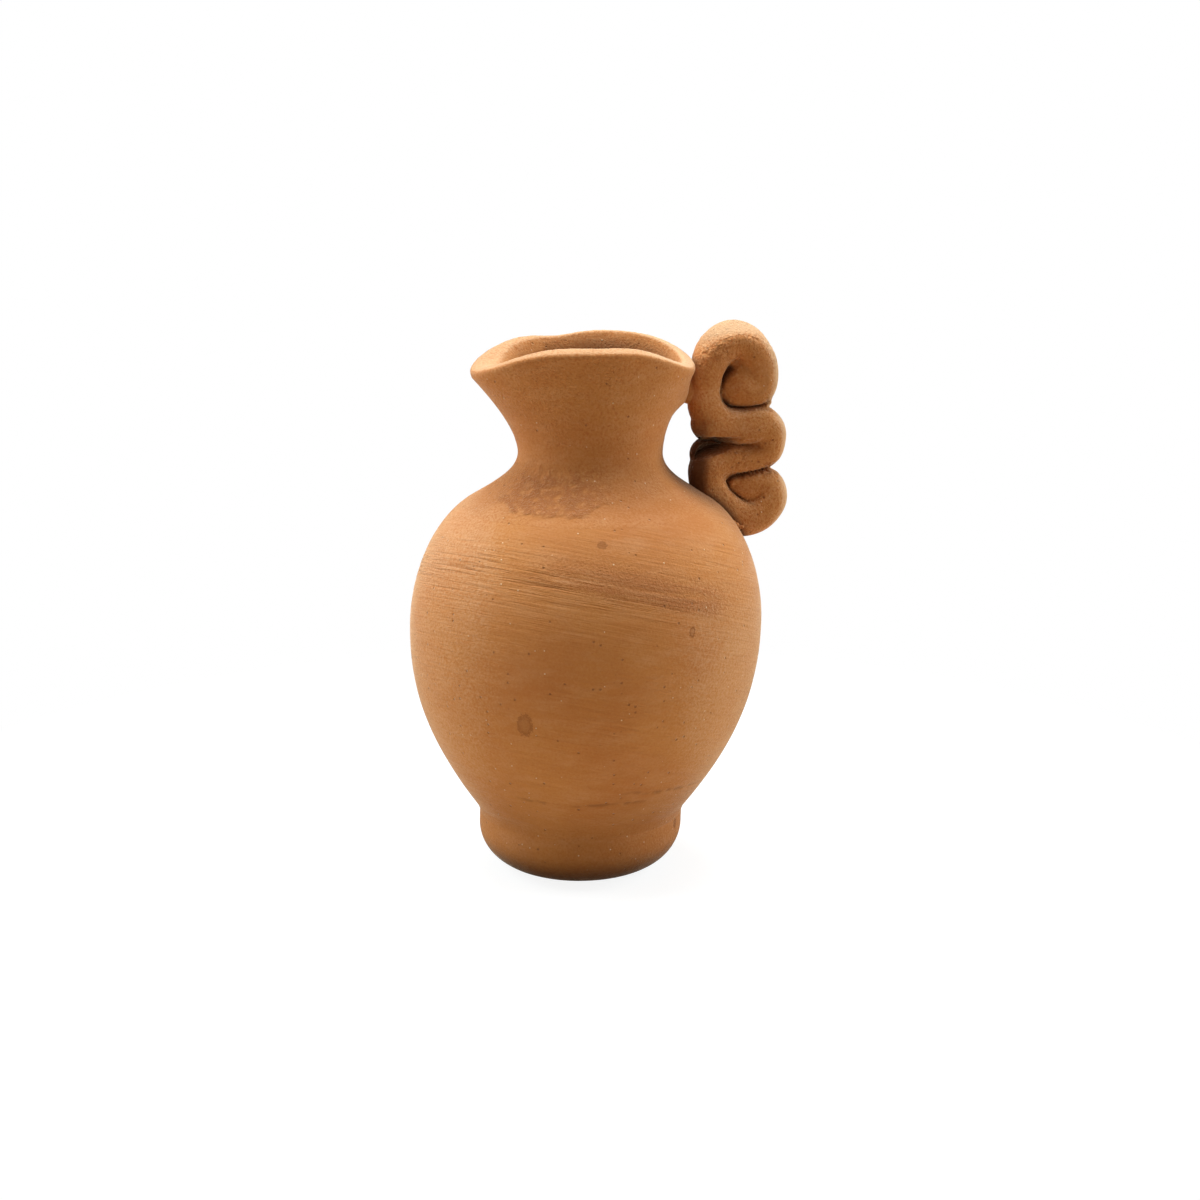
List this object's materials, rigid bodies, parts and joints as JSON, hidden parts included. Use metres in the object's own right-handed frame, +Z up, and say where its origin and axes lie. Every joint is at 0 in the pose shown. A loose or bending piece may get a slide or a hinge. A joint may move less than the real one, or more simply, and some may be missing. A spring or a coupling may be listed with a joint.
{
  "type": "miniature terracotta jug",
  "caption": "Small unglazed terracotta jug with a rounded foot, ovoid belly, waisted neck, pinched pouring mouth and a handle folded from a rolled coil of clay.",
  "frame": {"origin": "on the table, in the flat underside of the foot, below the middle of the jug", "axes": "+Z up the jug, -X to the pouring lip, the handle towards +X"},
  "size_m": [0.0539, 0.05, 0.0782],
  "materials": {
    "terracotta": "matte",
    "slip": "matte"
  },
  "bodies": {
    "root": {"foot": "terracotta", "foot_slip": "slip", "belly": "terracotta", "neck_slip": "slip", "neck": "terracotta", "handle_coil": "terracotta", "rim_wad": "slip", "shoulder_wad": "slip"}
  },
  "joints": []
}
